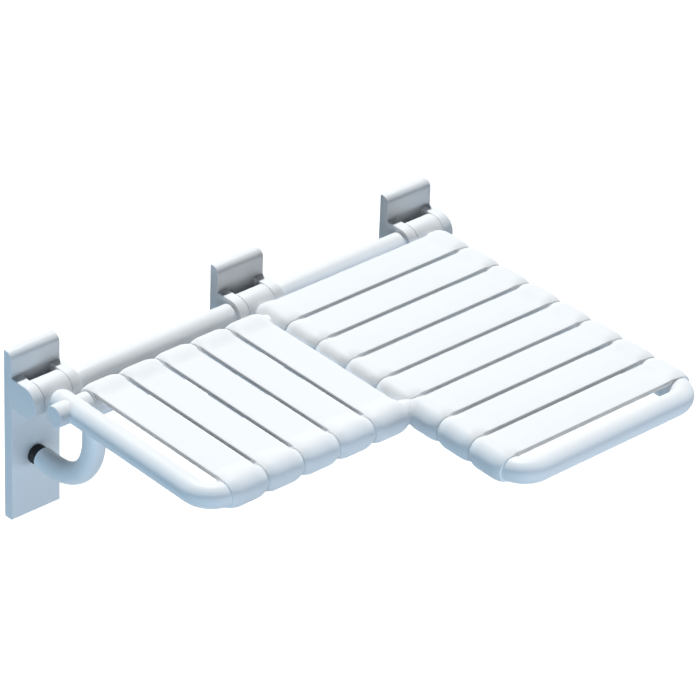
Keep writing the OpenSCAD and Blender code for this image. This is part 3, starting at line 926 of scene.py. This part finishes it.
def sleeve_outline(mesh, breadth):
    """Half of a barrel's outline above a tube along Y. Returns its two lower ends."""
    shoulders, rims, ends = [], [], []
    for side in (-1, 1):
        shoulder = Vector((0, side * (breadth / 2 - BULGE_LENGTH), RING_R))
        arc(mesh, shoulder, shoulder - Z * BULGE_R, X, -side * BULGE_ANGLE)
        shoulders.append(nearest(mesh, shoulder))
        rims.append(nearest(mesh, (0, side * breadth / 2, RING_R - BULGE_DROP)))
        ends.append(mesh.verts.new((0, side * breadth / 2, SLEEVE_BORE_R)))
        mesh.edges.new((rims[-1], ends[-1]))
    mesh.edges.new(shoulders)
    round_corners(mesh, rims, SLEEVE_EDGE)
    return ends


def slat_sleeve(breadth):
    """A barrel about a tube along Y: its outline, closed into a loop and spun round."""
    mesh = bmesh.new()
    mesh.edges.new(sleeve_outline(mesh, breadth))
    spin_round(mesh, (0, 0, 0), Y, SLEEVE_STEPS)
    return mesh


print("radius of a barrel's bulge:", round(BULGE_R / MM, 1))

# %% [markdown]
# ## The blend from sleeve to plank
#
# Where a sleeve and its plank meet, a moulding has no crease. So the sleeve's outline
# travels towards the plank, and sinks and narrows on the way until it is level with it.
# The height follows a smooth step, which starts and ends flat, and the width follows a
# sine that is done earlier. The blend ends a hair below the plank's top face.

# %% Blend
PLANK_DROP = 3.8 * MM
PLANK_TOP = RING_R - PLANK_DROP
PLANK_NARROWER = 4 * MM
BLEND_LENGTH, BLEND_STEPS = 28 * MM, 16
BLEND_INSIDE = 1.4 * MM
BLEND_NARROWER = PLANK_NARROWER + BLEND_INSIDE
BLEND_SINK = 0.06 * MM
NARROWS_FASTER = 1.7
APART = 0.02 * MM  # keeps corners of two closed shapes from being merged


def smooth_step(share):
    """From 0 to 1, with a flat start and a flat end."""
    return share * share * (3 - 2 * share)


def sleeve_blend(breadth):
    """The sleeve's outline on its way to the plank, lower and narrower with each step."""
    mesh = bmesh.new()
    mesh.edges.new(sleeve_outline(mesh, breadth))
    ring = mesh.edges[:]
    bmesh.ops.contextual_create(mesh, geom=list(ring))
    base = PLANK_TOP - BLEND_SINK
    about_base = Matrix.Translation((0, 0, -base))
    high_before, wide_before = 1.0, breadth
    for step in range(1, BLEND_STEPS + 1):
        share = step / BLEND_STEPS
        high = 1 - smooth_step(share)
        narrowing = math.sin(math.pi / 2 * min(1, share * NARROWS_FASTER)) ** 2
        wide = breadth - BLEND_NARROWER * narrowing
        ring = extruded(mesh, ring, X * BLEND_LENGTH / BLEND_STEPS)
        bmesh.ops.scale(mesh, vec=(1, wide / wide_before, 1), verts=ring_verts(ring))
        upper = [v for v in ring_verts(ring) if v.co.z > base]
        bmesh.ops.scale(mesh, vec=(1, 1, high / high_before), space=about_base, verts=upper)
        high_before, wide_before = max(high, TINY), wide
    bmesh.ops.contextual_create(mesh, geom=ring)
    bmesh.ops.translate(mesh, verts=mesh.verts, vec=(-APART, 0, 0))
    return mesh


print("plank's top below the sleeves' tops:", round(PLANK_DROP / MM, 1))

# %% [markdown]
# ## Planks and whole slats
#
# The plank is a rectangle that is filled, extruded and softened along its top edges. All
# slats share one function, because the two legs differ only in span, width and
# direction: a slat is made along X and then turned and moved to its tubes.

# %% Slats
SLAT_T = 6 * MM
SLAT_ROUND, SLAT_SEGMENTS = 2.0 * MM, 6


def plank_mesh(span, breadth):
    """The plank between two tube axes, with softened long edges."""
    mesh = bmesh.new()
    side, under = breadth / 2, PLANK_TOP - SLAT_T
    corners = [(-side, PLANK_TOP), (side, PLANK_TOP), (side, under), (-side, under)]
    bmesh.ops.contextual_create(mesh, geom=[mesh.verts.new((0, y, z)) for y, z in corners])
    thickened(mesh, X * span)
    upper = [e for e in mesh.edges if e.verts[0].co.z > PLANK_TOP - TINY]
    soften(mesh, [e for e in upper if reach_x(e) > TINY], SLAT_ROUND, SLAT_SEGMENTS)
    return mesh


def slat_mesh(span, breadth, place):
    """A slat from one tube axis to the next, made along X and then put in place."""
    parts = [plank_mesh(span, breadth - PLANK_NARROWER)]
    for tube_x, turn_by in ((0, 0), (span, math.pi)):
        to_end = Matrix.Translation((tube_x, 0, 0)) @ Matrix.Rotation(turn_by, 4, "Z")
        for end in (slat_sleeve(breadth), sleeve_blend(breadth)):
            bmesh.ops.transform(end, matrix=to_end, verts=end.verts)
            bmesh.ops.recalc_face_normals(end, faces=end.faces)
            parts.append(end)
    mesh = joined(parts)
    bmesh.ops.transform(mesh, matrix=place, verts=mesh.verts)
    return mesh


def slat_nodes(leg):
    """The slats of a leg, without their screws."""
    return sorted(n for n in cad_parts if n.startswith(leg + "_slat_") and n[-1].isdigit())


for node in slat_nodes("long"):
    place = Matrix.Translation((0, middle(node).y, 0))
    mesh = slat_mesh(bracket_x["right"], width(node, 1), place)
    make_piece(node + "_plank", mesh, slat_nylon, "seat", [node])
across = Matrix.Rotation(-math.pi / 2, 4, "Z")
for node in slat_nodes("short"):
    place = Matrix.Translation((middle(node).x, back_y, 0)) @ across
    mesh = slat_mesh(back_y - short_y, width(node, 0), place)
    make_piece(node + "_plank", mesh, slat_nylon, "seat", [node])
print("slats made:", len(slat_nodes("long")), len(slat_nodes("short")))

# %% [markdown]
# ## Finishes for the frame's own nodes
#
# Screws, pins, bushes and the steel inside keep the frame's shapes, which are already
# right, and only get a finish.

# %% Finishes for the frame's own nodes
for name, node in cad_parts.items():
    if name.endswith("screws"):
        finish = screw_steel
    elif name == "hinge_bushes":
        finish = bush_plastic
    else:
        finish = plated_steel
    node.data.materials.clear()
    node.data.materials.append(finish)
print("nodes with a finish:", len(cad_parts))
